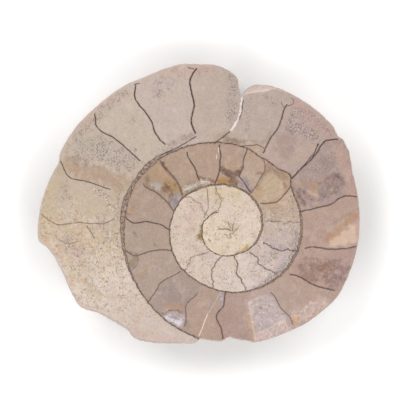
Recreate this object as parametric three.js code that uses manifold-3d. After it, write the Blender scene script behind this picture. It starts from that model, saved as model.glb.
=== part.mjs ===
// One half of an ammonite that was sawn through the middle of its coil and then polished.
//
// The flat polished face is up. Underneath is the natural flank of the shell: the whorls step
// down to an open umbilicus, and the outermost whorl is worn flat where the half rests on it.
// A stretch of the outermost whorl, the old living chamber, is broken away along its edge.
//
// Millimetres, +Z up. A direction is in degrees, anticlockwise from +X about the coil's axis.
// The shell grows anticlockwise, so the same direction one whorl further in is 360 less.

import * as THREE from 'three';
import { mergeVertices } from 'three/addons/utils/BufferGeometryUtils.js';
import Module from 'manifold-3d';

const THICKNESS = 24; // from the polished face to the worn flat
const TURN = 360;
const MOUTH = 255; // direction where the outermost whorl ends

// The edge of the polished face: [direction, radius].
const OUTLINE = [
  [-105, 52.2], [-94, 51.8], [-90, 49.9], [-85, 51.1], [-80, 52.5], [-77, 53.4], [-60, 54.6], [-50, 56.3],
  [-40, 57.7], [-30, 59.5], [-20, 59.8], [0, 61.2], [10, 62.1], [25, 64.2], [30, 66.1], [35, 68.2],
  [39, 68.7], [41, 68.0], [45, 69.4], [60, 70.5], [73, 71.2], [79, 70.3], [83, 67.5],
  // The notch of the open crack.
  [85, 63.8], [87, 72.4], [91, 76.2], [95, 78.5], [100, 79.7], [107, 81.8], [118, 82.5], [125, 84.1],
  [137, 85.5], [148, 87.2], [155, 87.4], [158, 86.3], [162, 87.2], [172, 89.1], [181, 89.8],
  // The break along the old living chamber.
  [183, 89.3], [185, 85.8], [190, 82.0], [195, 80.2], [206, 78.7], [213, 71.7], [220, 68.0], [224, 66.6],
  [228, 67.0], [235, 63.8], [245, 58.1], [253, 54.8], [255, 52.2],
];

// The outer wall of the whorls as they grew: [direction, radius].
const COIL = [
  [-825, 11.9], [-720, 15.0], [-630, 21.8], [-540, 27.9], [-450, 28.4], [-360, 34.0], [-270, 41.0],
  [-180, 50.9], [-105, 52.0], [-60, 54.6], [0, 61.2], [60, 70.5], [110, 82.0], [181, 89.8], [255, 99.4],
];
const GROWTH = 1.8; // radius gained in one whorl, further in than the first entry of COIL
const MOUTH_FADE = 30; // degrees over which the outermost whorl thins towards its broken mouth

// The cross-section of a whorl, below the polished face.
const WHORLS = 4;
const OUTER_SHARE = 1.04; // a whorl's outer edge, as a share of the coil's radius
const INNER_SHARE = 0.72; // its inner edge, as a share of the coil's radius one whorl further in
const SECTION_POWER = 2.2; // 2 is an ellipse, more is squarer
const UNWORN_THICKNESS = 25.2; // what the thickest whorl had before its flank wore flat
const YOUNG_SHARE = 0.82; // how thick the outermost whorl is where it begins, as a share of that
const THINNING = 0.8; // how fast whorls get thinner as they get smaller
const BLEND_POWER = 16; // how sharply one whorl meets the next
const EDGE_SLOPE = 6; // rise over run of the wall under the polished edge
const CORE_RADIUS = 12;
const CORE_DEPTH = 6;

// The shallow crack that runs in from the notch: [direction, radius], and its width at each end.
const CRACK = [[84.6, 66], [84.5, 60], [84.8, 55.3], [86, 51.6], [89, 47.3], [92, 45.4], [97, 42.7]];
const CRACK_WIDTH_OUTSIDE = 0.9;
const CRACK_WIDTH_INSIDE = 0.3;
const CRACK_DEPTH = 1.5;

// The rings of the mesh: the inner ones are smooth, and the outer ones take in the chips of the edge.
const DIRECTION_STEP = 2;
const RINGS = 18;
const SMOOTHING_OFFSETS = [-20, -15, -10, -5, 0, 5, 10, 15, 20];
const CHIP_POWER = 6;

// A smooth curve through [x, y] keys that never swings past them.
function curveThrough(keys) {
  const slopes = keys.slice(1).map(([x, y], i) => (y - keys[i][1]) / (x - keys[i][0]));
  const tangents = keys.map((_, i) => {
    const before = slopes[Math.max(i - 1, 0)];
    const after = slopes[Math.min(i, slopes.length - 1)];
    return before * after > 0 ? (2 * before * after) / (before + after) : 0;
  });
  return (x) => {
    const next = keys.findIndex((key) => key[0] > x);
    const start = next === -1 ? keys.length - 2 : Math.max(next - 1, 0);
    const span = keys[start + 1][0] - keys[start][0];
    const t = (x - keys[start][0]) / span;
    const rise = keys[start + 1][1] - keys[start][1];
    const lift = t * (1 - t) * (1 - t) * tangents[start] - t * t * (1 - t) * tangents[start + 1];
    return keys[start][1] + rise * t * t * (3 - 2 * t) + span * lift;
  };
}

function pointAt(direction, radius) {
  const angle = THREE.MathUtils.degToRad(direction);
  return new THREE.Vector2(radius * Math.cos(angle), radius * Math.sin(angle));
}

const outlineRadius = curveThrough(OUTLINE);
const measuredCoil = curveThrough(COIL);

function coilRadius(direction) {
  const [innermost, radius] = COIL[0];
  const whorlsIn = (innermost - direction) / TURN;
  return whorlsIn > 0 ? radius / GROWTH ** whorlsIn : measuredCoil(direction);
}

// The same direction, written as a place on the outermost whorl.
function onOutermostWhorl(direction) {
  return THREE.MathUtils.euclideanModulo(direction - (MOUTH - TURN), TURN) + (MOUTH - TURN);
}

// How far one whorl's flank lies below the polished face.
function whorlDepth(radius, direction, isOutermost) {
  const outer = OUTER_SHARE * coilRadius(direction);
  const inner = INNER_SHARE * coilRadius(direction - TURN);
  const across = (2 * radius - outer - inner) / (outer - inner);
  if (Math.abs(across) >= 1) return 0;
  const fade = isOutermost ? THREE.MathUtils.smoothstep(MOUTH - direction, 0, MOUTH_FADE) : 1;
  const size = Math.min(YOUNG_SHARE * (coilRadius(direction) / coilRadius(MOUTH - TURN)) ** THINNING, 1);
  const section = (1 - Math.abs(across) ** SECTION_POWER) ** (1 / SECTION_POWER);
  return UNWORN_THICKNESS * fade * size * section;
}

function smoothOutlineRadius(direction) {
  const radii = SMOOTHING_OFFSETS.map((offset) => outlineRadius(onOutermostWhorl(direction + offset)));
  return radii.reduce((sum, radius) => sum + radius) / radii.length;
}

// The radius at a share of the way from the coil's axis out to the edge.
function ringRadius(share, direction) {
  const smooth = smoothOutlineRadius(direction);
  return share * smooth + share ** CHIP_POWER * (outlineRadius(direction) - smooth);
}

function coreDepth(radius) {
  return CORE_DEPTH * Math.sqrt(Math.max(1 - (radius / CORE_RADIUS) ** 2, 0));
}

// How far the underside lies below the polished face.
function undersideDepth(radius, direction) {
  const depths = [coreDepth(radius)];
  for (let whorl = 0; whorl < WHORLS; whorl += 1) {
    depths.push(whorlDepth(radius, direction - TURN * whorl, whorl === 0));
  }
  const blended = depths.reduce((sum, depth) => sum + depth ** BLEND_POWER, 0) ** (1 / BLEND_POWER);
  const fromEdge = outlineRadius(direction) - radius;
  return Math.min(blended, THICKNESS, EDGE_SLOPE * fromEdge);
}

// A flat-topped drum of radius 1, whose every vertex then moves to its place on the fossil.
function fossilGeometry() {
  const profile = [];
  for (let ring = 0; ring < RINGS; ring += 1) {
    profile.push(new THREE.Vector2(Math.sin((Math.PI / 2) * (ring / RINGS)), 0));
  }
  profile.push(new THREE.Vector2(1, 1), new THREE.Vector2(0, 1));
  const geometry = new THREE.LatheGeometry(profile, TURN / DIRECTION_STEP).rotateX(Math.PI / 2);
  // The lathe's first line is along -Y, and this turns it to the mouth of the shell.
  geometry.rotateZ(THREE.MathUtils.degToRad(MOUTH - TURN + 90));

  const place = geometry.getAttribute('position');
  for (let i = 0; i < place.count; i += 1) {
    const share = Math.hypot(place.getX(i), place.getY(i));
    const isPolished = place.getZ(i) > 0.5;
    // Every line of the mesh is at a whole number of degrees.
    const angle = Math.atan2(place.getY(i), place.getX(i));
    const direction = onOutermostWhorl(Math.round(THREE.MathUtils.radToDeg(angle)));
    const radius = ringRadius(share, direction);
    const depth = isPolished ? 0 : undersideDepth(radius, direction);
    const point = pointAt(direction, radius);
    place.setXYZ(i, point.x, point.y, THICKNESS - depth);
  }
  return geometry;
}

// A thin blade along the crack, to be cut out of the polished face.
function crackGeometry() {
  const line = CRACK.map(([direction, radius]) => pointAt(direction, radius));
  const sides = [-1, 1].map((side) => line.map((point, i) => {
    const along = line[Math.min(i + 1, line.length - 1)].clone().sub(line[Math.max(i - 1, 0)]).normalize();
    const width = THREE.MathUtils.lerp(CRACK_WIDTH_OUTSIDE, CRACK_WIDTH_INSIDE, i / (line.length - 1));
    return new THREE.Vector2(-along.y, along.x).multiplyScalar((side * width) / 2).add(point);
  }));
  const outline = new THREE.Shape([...sides[0], ...sides[1].reverse()]);
  const blade = new THREE.ExtrudeGeometry(outline, { depth: 2 * CRACK_DEPTH, bevelEnabled: false });
  return blade.translate(0, 0, THICKNESS - CRACK_DEPTH);
}

const wasm = await Module();
wasm.setup();

function toSolid(geometry) {
  geometry.deleteAttribute('normal');
  geometry.deleteAttribute('uv');
  const merged = mergeVertices(geometry, 1e-4);
  return new wasm.Manifold(new wasm.Mesh({
    numProp: 3,
    vertProperties: merged.getAttribute('position').array,
    triVerts: new Uint32Array(merged.getIndex().array),
  }));
}

function toGeometry(solid) {
  const { vertProperties, triVerts } = solid.getMesh();
  const geometry = new THREE.BufferGeometry();
  geometry.setAttribute('position', new THREE.BufferAttribute(vertProperties, 3));
  geometry.setIndex(new THREE.BufferAttribute(triVerts, 1));
  return geometry;
}

// The origin is under the middle of the fossil, on the surface that it rests on.
function centre(geometry) {
  geometry.computeBoundingBox();
  const { min, max } = geometry.boundingBox;
  return geometry.translate(-(min.x + max.x) / 2, -(min.y + max.y) / 2, -min.z);
}

function makeAmmonite() {
  const solid = toSolid(fossilGeometry()).subtract(toSolid(crackGeometry()));
  const geometry = centre(toGeometry(solid));
  geometry.computeVertexNormals();
  const stone = new THREE.MeshStandardMaterial({ color: 0xbca396, roughness: 0.35, metalness: 0 });
  const ammonite = new THREE.Mesh(geometry, stone);
  ammonite.name = 'ammonite';
  return ammonite;
}

const fossil = new THREE.Group();
fossil.add(makeAmmonite());

export default fossil;
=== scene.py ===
"""The looks of the ammonite fossil: one stone, with a polished section on top and the natural flank below.

Places on the fossil are in millimetres and degrees about the coil's axis. A direction runs anticlockwise
from +X, and the same direction one whorl further in is 360 less, so one number says where on the coil a
place is. Blender's own coordinates are metres.
"""

from functools import reduce
import math

import bpy
import numpy as np
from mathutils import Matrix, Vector, kdtree, noise
from mathutils.geometry import delaunay_2d_cdt


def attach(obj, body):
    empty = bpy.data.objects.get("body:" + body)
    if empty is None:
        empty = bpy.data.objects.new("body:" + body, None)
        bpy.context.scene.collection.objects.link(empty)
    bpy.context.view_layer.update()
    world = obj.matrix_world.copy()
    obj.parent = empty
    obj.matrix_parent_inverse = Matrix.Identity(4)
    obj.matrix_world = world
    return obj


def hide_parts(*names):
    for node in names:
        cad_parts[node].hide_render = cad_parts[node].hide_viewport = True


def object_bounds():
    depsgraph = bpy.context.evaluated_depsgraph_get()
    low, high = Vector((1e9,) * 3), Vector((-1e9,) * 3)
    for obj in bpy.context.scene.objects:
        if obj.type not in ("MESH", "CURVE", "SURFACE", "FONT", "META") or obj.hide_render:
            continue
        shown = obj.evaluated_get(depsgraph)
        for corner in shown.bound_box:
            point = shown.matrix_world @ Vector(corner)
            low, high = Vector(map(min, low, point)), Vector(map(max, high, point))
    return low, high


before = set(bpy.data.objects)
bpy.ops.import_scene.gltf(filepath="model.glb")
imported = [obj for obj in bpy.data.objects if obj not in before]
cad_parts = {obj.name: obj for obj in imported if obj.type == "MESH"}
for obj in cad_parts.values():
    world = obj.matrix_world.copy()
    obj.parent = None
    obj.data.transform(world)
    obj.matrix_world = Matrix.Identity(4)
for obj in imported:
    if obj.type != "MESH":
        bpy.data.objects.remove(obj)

CAD_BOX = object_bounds()

MM = 0.001
TURN = 360
MOUTH = 255  # direction where the outermost whorl ends
START = MOUTH - TURN  # and where it begins, one whorl before
PIECE = "ammonite_half"
SEED = 11
noise.seed_set(SEED)  # without it the wavering of the lines differs from run to run

# ---- the shape, as in the CAD ----

# The edge of the fossil: (direction, radius).
OUTLINE = [
    (-105, 52.2), (-94, 51.8), (-90, 49.9), (-85, 51.1), (-80, 52.5), (-77, 53.4), (-60, 54.6), (-50, 56.3),
    (-40, 57.7), (-30, 59.5), (-20, 59.8), (0, 61.2), (10, 62.1), (25, 64.2), (30, 66.1), (35, 68.2),
    (39, 68.7), (41, 68.0), (45, 69.4), (60, 70.5), (73, 71.2), (79, 70.3), (83, 67.5),
    # The notch that the crack runs in from.
    (85, 63.8), (87, 72.4), (91, 76.2), (95, 78.5), (100, 79.7), (107, 81.8), (118, 82.5), (125, 84.1),
    (137, 85.5), (148, 87.2), (155, 87.4), (158, 86.3), (162, 87.2), (172, 89.1), (181, 89.8),
    # The break along the old living chamber.
    (183, 89.3), (185, 85.8), (190, 82.0), (195, 80.2), (206, 78.7), (213, 71.7), (220, 68.0), (224, 66.6),
    (228, 67.0), (235, 63.8), (245, 58.1), (253, 54.8), (255, 52.2),
]

# The outer wall of the whorls as they grew, used for the flank: (direction, radius).
COIL = [
    (-825, 11.9), (-720, 15.0), (-630, 21.8), (-540, 27.9), (-450, 28.4), (-360, 34.0), (-270, 41.0),
    (-180, 50.9), (-105, 52.0), (-60, 54.6), (0, 61.2), (60, 70.5), (110, 82.0), (181, 89.8), (255, 99.4),
]
GROWTH = 1.8  # radius gained in one whorl, further in than the first entry of COIL
MOUTH_FADE = 30  # degrees over which the outermost whorl thins towards its broken mouth
WHORLS = 4
OUTER_SHARE = 1.04  # a whorl's outer edge, as a share of the coil's radius
INNER_SHARE = 0.72  # its inner edge, as a share of the coil's radius one whorl further in
SECTION_POWER = 2.2  # 2 is an ellipse, more is squarer
UNWORN_THICKNESS = 25.2  # what the thickest whorl had before its flank wore flat
YOUNG_SHARE = 0.82  # how thick the outermost whorl is where it begins, as a share of that
THINNING = 0.8  # how fast whorls get thinner as they get smaller
BLEND_POWER = 16  # how sharply one whorl meets the next
EDGE_SLOPE = 6  # rise over run of the wall under the polished edge
CORE_RADIUS = 12
CORE_DEPTH = 6

# ---- what the polished section shows ----

# The shell wall that coils through the section: (direction, radius), and its width: (direction, mm).
WALL = [
    (-960, 10.3), (-945, 11.4), (-915, 12.7), (-870, 12.7), (-840, 12.2), (-795, 11.3), (-765, 12.3),
    (-705, 16.1), (-660, 19.5), (-600, 23.9), (-570, 27), (-510, 28.1), (-480, 27.7), (-450, 28.4),
    (-390, 32.3), (-360, 34), (-330, 35.1), (-324, 36), (-317, 39), (-308, 37.4), (-295, 37.6),
    (-283, 39.7), (-255, 42.9), (-237, 45.4), (-225, 48), (-209, 49.7), (-194, 50.4), (-180, 50),
    (-160, 49.9), (-105, 52),
]
WALL_WIDTH = [
    (-960, 0.2), (-900, 0.5), (-860, 0.4), (-780, 0.5), (-720, 0.9), (-660, 0.9), (-560, 0.6), (-440, 0.5),
    (-400, 1), (-360, 1.1), (-320, 0.6), (-275, 0.5), (-240, 0.6), (-228, 1.6), (-218, 2.5), (-209, 1.7),
    (-194, 2.6), (-180, 1.9), (-168, 1.2), (-152, 0.7), (-135, 0.5), (-105, 0.5),
]

# The septa: (width, strength, where it starts and ends as shares of the way in from the outer wall, and its
# direction at five even steps from the outer wall in to the inner one).
OUTER_SEPTA = [
    (0.38, 0.60, 0.00, 0.90, (174.5, 177.7, 176.7, 176.6, 171)),
    (0.38, 0.90, 0.00, 0.76, (157, 161.4, 160.6, 160.6, 160)),
    (0.46, 0.95, 0.06, 0.88, (137.5, 142, 140.8, 141.2, 142)),
    (0.52, 1.00, 0.05, 0.88, (121.6, 125.4, 125, 127, 125)),
    (0.62, 1.00, 0.06, 0.86, (99.8, 104.9, 105.3, 109.2, 108.5)),
    (0.56, 0.85, 0.17, 0.92, (64.2, 65.6, 64.6, 66.2, 66.6)),
    (0.62, 0.90, 0.05, 1.00, (39.4, 43.3, 41.4, 41, 40.4)),
    (0.51, 0.85, 0.00, 1.00, (15, 17, 14.8, 15, 15.5)),
    (0.59, 0.75, 0.03, 0.88, (-6.5, -8.7, -10.1, -10.4, -16)),
    (0.59, 0.80, 0.10, 0.88, (-28.5, -30.5, -32.5, -32.8, -39)),
    (0.44, 0.60, 0.10, 0.83, (-56.8, -54.6, -55.8, -55, -60.5)),
    (0.56, 0.80, 0.00, 1.00, (-93, -94.4, -98.5, -94, -93.5)),
]
MIDDLE_SEPTA = [
    (0.36, 0.65, 0.10, 0.80, (-114.5, -116.2, -120.4, -117.5, -117)),
    (0.38, 0.70, 0.00, 0.92, (-139, -140.5, -143.2, -141.6, -140)),
    (0.45, 0.75, 0.04, 1.00, (-170, -165, -166, -165, -161.5)),
    (0.50, 0.85, 0.05, 1.00, (-189, -185, -186.7, -186.3, -181)),
    (0.48, 0.75, 0.16, 0.98, (-213.5, -208, -208, -206, -200)),
    (0.85, 0.5, 0.08, 0.92, (-226.3, -224.7, -224.5, -222.4, -216.5)),
    (0.50, 0.90, 0.12, 0.82, (-243.2, -241.3, -241.7, -240.2, -240)),
    (0.56, 0.85, 0.06, 1.00, (-263.4, -263.6, -262.4, -259.8, -252.8)),
    (0.50, 0.75, 0.00, 0.72, (-282.5, -281.6, -282.3, -280.2, -281)),
    (0.45, 0.60, 0.02, 0.92, (-295.5, -300.4, -300.6, -300.3, -300.8)),
    (0.50, 0.75, 0.02, 0.92, (-324, -326.3, -328.4, -324, -316)),
]
INNER_SEPTA = [
    (0.32, 0.55, 0.05, 0.90, (-353, -352, -350, -347, -344)),
    (0.36, 0.85, 0.02, 0.85, (-376, -378.5, -382, -379, -375)),
    (0.35, 0.75, 0.10, 0.90, (-402, -403, -409, -404, -403)),
    (0.38, 0.85, 0.04, 1.00, (-434, -434, -440, -437, -437)),
    (0.35, 0.80, 0.00, 1.00, (-466, -468, -475, -471, -469)),
    (0.32, 0.60, 0.05, 0.95, (-498, -501, -504, -500, -498)),
    (0.30, 0.50, 0.00, 0.90, (-578, -581, -584.5, -578, -570)),
    (0.30, 0.55, 0.05, 1.00, (-613, -612, -616, -611, -604)),
]

# The crack, lined with white calcite: (direction, radius).
CRACK = [(84.6, 66), (84.5, 60), (84.8, 55.3), (86, 51.6), (89, 47.3), (92, 45.4), (97, 42.7)]


def curve_through(keys):
    """A smooth curve through (x, y) keys that never swings past them, as a function of an array."""
    xs, ys = np.array(keys, float).T
    slopes = np.diff(ys) / np.diff(xs)
    before = np.r_[slopes[0], slopes]
    after = np.r_[slopes, slopes[-1]]
    agree = before * after > 0
    tangents = np.where(agree, 2 * before * after / np.where(agree, before + after, 1), 0)

    def curve(x):
        start = np.clip(np.searchsorted(xs, x, side="right") - 1, 0, len(xs) - 2)
        span = xs[start + 1] - xs[start]
        t = np.clip((x - xs[start]) / span, 0, 1)
        rise = ys[start + 1] - ys[start]
        lift = t * (1 - t) ** 2 * tangents[start] - t**2 * (1 - t) * tangents[start + 1]
        return ys[start] + rise * t * t * (3 - 2 * t) + span * lift

    return curve


def smoothstep(low, high, x):
    t = np.clip((x - low) / (high - low), 0, 1)
    return t * t * (3 - 2 * t)


outline_radius = curve_through(OUTLINE)
wall_radius = curve_through(WALL)
wall_width = curve_through(WALL_WIDTH)
measured_coil = curve_through(COIL)


def on_outermost_whorl(direction):
    """The same direction, written as a place on the outermost whorl."""
    return (np.asarray(direction, float) - START) % TURN + START


def coil_radius(direction):
    innermost, radius = COIL[0]
    further_in = radius / GROWTH ** ((innermost - np.minimum(direction, innermost)) / TURN)
    return np.where(direction < innermost, further_in, measured_coil(direction))


def polar(direction, radius):
    angle = np.radians(direction)
    return np.stack([radius * np.cos(angle), radius * np.sin(angle)], axis=-1)


def corners_at(places):
    """The points at (direction, radius) places."""
    return polar(*np.array(places, float).T)


def direction_and_radius(points):
    direction = on_outermost_whorl(np.degrees(np.arctan2(points[:, 1], points[:, 0])))
    return direction, np.hypot(points[:, 0], points[:, 1])


def place_on_coil(points):
    """Each point's place along the coil, in degrees, and its share of the way across that whorl."""
    direction, radius = direction_and_radius(points)
    place = direction.copy()
    for _ in range(WHORLS):
        is_further_in = radius < wall_radius(place - TURN)
        place = np.where(is_further_in & (place - TURN > WALL[0][0]), place - TURN, place)
    outer = np.where(place >= START, outline_radius(direction), wall_radius(place))
    inner = wall_radius(place - TURN)
    return place, (radius - inner) / (outer - inner)


def whorl_depth(radius, direction, is_outermost):
    """How far one whorl's flank lies below the polished face."""
    outer = OUTER_SHARE * coil_radius(direction)
    inner = INNER_SHARE * coil_radius(direction - TURN)
    across = np.minimum(np.abs((2 * radius - outer - inner) / (outer - inner)), 1)
    fade = smoothstep(0, MOUTH_FADE, MOUTH - direction) if is_outermost else 1
    size = np.minimum(YOUNG_SHARE * (coil_radius(direction) / coil_radius(START)) ** THINNING, 1)
    return UNWORN_THICKNESS * fade * size * (1 - across**SECTION_POWER) ** (1 / SECTION_POWER)


def underside_depth(radius, direction):
    """How far the unworn underside lies below the polished face."""
    depths = [CORE_DEPTH * np.sqrt(np.maximum(1 - (radius / CORE_RADIUS) ** 2, 0))]
    for whorl in range(WHORLS):
        depths.append(whorl_depth(radius, direction - TURN * whorl, whorl == 0))
    return sum(depth**BLEND_POWER for depth in depths) ** (1 / BLEND_POWER)


# ---- the lines of the section ----

LINE_STEP = 0.45  # along a line, between the points of the mesh
WALL_STEP = 0.5  # degrees between the places that the wall is first drawn through
LINE_MARGIN = 0.35  # from a line's edge to the row of points beside it

# How far lines waver from their smooth course, and the sizes of the waves, mm.
SEPTA_WAVERS = [(OUTER_SEPTA, 0.25), (MIDDLE_SEPTA, 0.3), (INNER_SEPTA, 1.4)]
BROAD_WAVES = 2.5
FINE_WAVES = 0.8
FINE_SHARE = 0.45  # how far the fine waves go, as a share of the broad ones
OTHER_WAVER, OTHER_WAVES = 0.2, 2
WALL_WAVERS = [(0.35, 3.0), (0.2, 0.9)]
WALL_KEY = 5  # which of the noise's patterns the wall wavers by

LINE_DEPTHS = {"septum": 0.06, "wall": 0.07, "crack": 0.9, "seam": 0.0}  # how deep each kind is sunk, mm

# Other lines: (kind, width, strength, [(direction, radius), ...]).
OTHER_LINES = [
    # The crack, a painted shade along its right side, and the calcite flecks further in.
    ("crack", 0.8, 1, CRACK[:5]),
    ("septum", 0.6, 0.7, [(89.6, 46.8), (92.5, 45), (97, 42.9), (99.8, 41.8)]),
    # Painted shade: a dark line along the crack's right side, drawn as a septum line.
    ("septum", 0.5, 1, [(83.9, 61.8), (84, 57.7), (84.4, 54.5), (85.5, 51.4)]),
    ("seam", 0.45, 0.9, [(97, 39.5), (97.6, 37.5)]),
    ("seam", 0.45, 0.8, [(99.2, 36.2), (99.6, 34.6)]),
    # The cream seam at the bottom, which fades inwards.
    ("seam", 0.5, 0.9, [(254, 51), (254.8, 45), (255.4, 40.4)]),
    ("seam", 0.4, 0.35, [(-104.7, 40.4), (-101.5, 34.5), (-97.5, 28.5)]),
    # The yellowish edge of the calcite chamber.
    ("seam", 0.9, 0.35, [(-76, 52), (-76, 46), (-75.3, 40), (-74.2, 34.5)]),
    # The wall's own branches: the tan wedge under a septum, and the split at the next one.
    ("septum", 0.4, 0.7, [(82.4, 40.2), (77.4, 41.2), (72.5, 42.6), (69.3, 42.6), (66.2, 42.2)]),
    ("septum", 0.45, 0.8, [(131.6, 48), (124, 46.4), (119.5, 46.1), (114, 46.4), (109.3, 47)]),
    # The line that closes off the crystals beside the inner whorls.
    ("septum", 0.5, 0.8, [(79.4, 26.1), (73.5, 24.2), (68.9, 22.7), (61.1, 20.9)]),
    # A doubled septum, with a light middle.
    ("septum", 0.55, 1, [(44.4, 58.5), (43, 55), (42, 51), (41.3, 47)]),
    ("seam", 0.4, 0.3, [(44.4, 57), (42.4, 53), (41.2, 49)]),
    # Where the septa and the rim meet.
    ("septum", 0.35, 0.55, [(64.8, 65.1), (63.4, 66.9), (63.9, 69), (65, 68.6)]),
    ("septum", 0.35, 0.6, [(68, 65.2), (66.4, 63.8)]),
    # The pale lip beside the notch.
    ("seam", 0.5, 0.85, [(83, 65.2), (78.3, 67), (75.6, 68.2), (73.4, 69.6)]),
    ("septum", 0.4, 0.7, [(104, 79.2), (102.3, 78)]),
    ("septum", 0.4, 0.7, [(122.8, 82), (121.2, 81.1)]),
    # Fibres that fan out across one chamber of the middle whorl.
    ("septum", 0.25, 0.18, [(53.5, 24), (51.5, 29), (51, 33.5)]),
    ("septum", 0.25, 0.15, [(50.5, 24), (46, 28.5), (44.5, 34)]),
    ("septum", 0.25, 0.18, [(47.5, 23.5), (41, 27.5), (38.5, 32)]),
    # An arc that closes off the corner of a chamber.
    ("septum", 0.35, 0.35, [(196.1, 44.1), (199.9, 45.8), (202.2, 50.1)]),
    # Hairlines in the old living chamber.
    ("septum", 0.35, 0.7, [(177.9, 66.6), (180.6, 64.6), (182.9, 63.2)]),
    ("septum", 0.35, 0.45, [(182.6, 80), (184.5, 75.4), (183.7, 70.6)]),
    # Fine lines in the innermost whorls.
    ("septum", 0.35, 0.7, [(150.6, 11.9), (134, 11.6), (120.6, 11.2)]),
    ("septum", 0.3, 0.6, [(117.6, 22.2), (124, 17.5), (131, 14.8), (150.8, 13.4)]),
    ("septum", 0.3, 0.5, [(106.1, 22), (106.9, 18.5), (100, 15.5)]),
    ("septum", 0.36, 0.8, [(168.1, 5.2), (156.2, 2.8), (130, 1.4), (20, 1)]),
    ("septum", 0.26, 0.7, [(96, 4.6), (90, 3.2), (62, 1.6)]),
    ("septum", 0.26, 0.7, [(58, 4.4), (50, 2.8), (10, 1.8)]),
    ("septum", 0.26, 0.6, [(18, 4.4), (12, 3), (-30, 2)]),
    ("septum", 0.26, 0.6, [(-150, 2.6), (-120, 2), (-105, 3.2)]),
    ("septum", 0.26, 0.6, [(-75, 1.4), (-70, 3.4)]),
    ("septum", 0.30, 0.8, [(-153, 9.6), (-160, 10.2)]),
]


def from_steps(steps, begin, end, count=25):
    """Points along a septum, given its direction at even steps from the outer wall in to the inner one."""
    shares = np.linspace(0, 1, len(steps))
    along = np.linspace(begin, end, count)
    place = curve_through(list(zip(shares, steps)))(along)
    outer = np.where(place >= START, outline_radius(on_outermost_whorl(place)), wall_radius(place))
    inner = wall_radius(place - TURN)
    return polar(place, outer + (inner - outer) * along)


def through_places(places, count=25):
    """Points along a smooth line through (direction, radius) places."""
    corners = corners_at(places)
    along = np.linspace(0, 1, len(places))
    steps = np.linspace(0, 1, count)
    return np.stack([curve_through(list(zip(along, axis)))(steps) for axis in corners.T], axis=-1)


def lengths_along(points):
    """How far along the line each of its points is."""
    return np.r_[0, np.cumsum(np.hypot(*np.diff(points, axis=0).T))]


def evenly(count, points):
    """The same line as this many points, an even distance apart."""
    lengths = lengths_along(points)
    places = np.linspace(0, lengths[-1], count)
    return np.stack([np.interp(places, lengths, axis) for axis in points.T], axis=-1)


def every(step, points):
    """The same line as points at least this far apart."""
    return evenly(max(int(lengths_along(points)[-1] / step), 2) + 1, points)


def rough(points, amount, size, key):
    """Moves points by smooth noise of this amount and size."""
    moved = points.copy()
    for i, (x, y) in enumerate(points):
        shift = noise.noise_vector(Vector((x / size, y / size, key)))
        moved[i] += amount * np.array(shift[:2])
    return moved


def section_lines():
    """Every line of the section as (kind, strength, points, width at each point)."""
    lines = []
    for rows, waver in SEPTA_WAVERS:
        for width, strength, begin, end, steps in rows:
            points = rough(every(LINE_STEP, from_steps(steps, begin, end)), waver, BROAD_WAVES, steps[0])
            points = rough(points, waver * FINE_SHARE, FINE_WAVES, steps[0])
            lines.append(("septum", strength, points, np.full(len(points), width)))
    for kind, width, strength, places in OTHER_LINES:
        points = rough(every(LINE_STEP, through_places(places)), OTHER_WAVER, OTHER_WAVES, places[0][1])
        lines.append((kind, strength, points, np.full(len(points), width)))
    place = np.arange(WALL[0][0], START, WALL_STEP)
    points = every(LINE_STEP, polar(place, wall_radius(place)))
    turned = np.degrees(np.unwrap(np.arctan2(points[:, 1], points[:, 0])))
    place = turned - turned[-1] + START
    for waver, waves in WALL_WAVERS:
        points = rough(points, waver, waves, WALL_KEY)
    lines.append(("wall", 1.0, points, wall_width(place)))
    return lines


# ---- colours ----

STONE_SHADE = 0.745  # the light makes things this much brighter, so that the floor is white

# The limestone's own colour: (place on the coil, colour).
LIMESTONE = [
    (-900, (234, 215, 193)), (-660, (228, 208, 193)), (-570, (221, 201, 183)), (-490, (222, 203, 190)),
    (-420, (223, 206, 197)), (-370, (203, 185, 178)), (-345, (196, 173, 158)), (-315, (190, 161, 134)),
    (-292, (190, 165, 147)), (-272, (181, 154, 138)), (-252, (183, 156, 138)), (-233, (181, 155, 136)),
    (-215, (172, 147, 127)), (-196, (179, 155, 141)), (-176, (180, 158, 143)), (-153, (182, 159, 147)),
    (-125, (172, 152, 142)), (-111, (182, 156, 142)), (-100, (182, 155, 140)), (-84, (177, 147, 135)),
    (-66, (190, 168, 164)), (-42, (185, 158, 145)), (-15, (182, 152, 144)), (5, (186, 157, 144)),
    (30, (172, 148, 141)), (55, (191, 168, 160)), (75, (188, 169, 159)), (95, (196, 178, 166)),
    (115, (202, 184, 174)), (133, (201, 185, 171)), (150, (201, 184, 169)), (168, (203, 184, 163)),
    (185, (216, 193, 170)), (200, (229, 212, 196)), (220, (216, 198, 185)), (240, (214, 196, 186)),
]
CHAMBER_BLEND = 0.35  # how much the colour still changes inside one chamber
UNDIVIDED = (-630, 150)  # before and after these places there are no chambers
CREAM = (-322, -330)  # places between which the cream fill of the inner whorls begins
OLD_CHAMBER = (160, 184)  # places between which the old living chamber's grain begins
CALMER = (205, 235)  # and between which it gets fainter
CALM_LOSS = 0.6  # by this share

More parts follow.
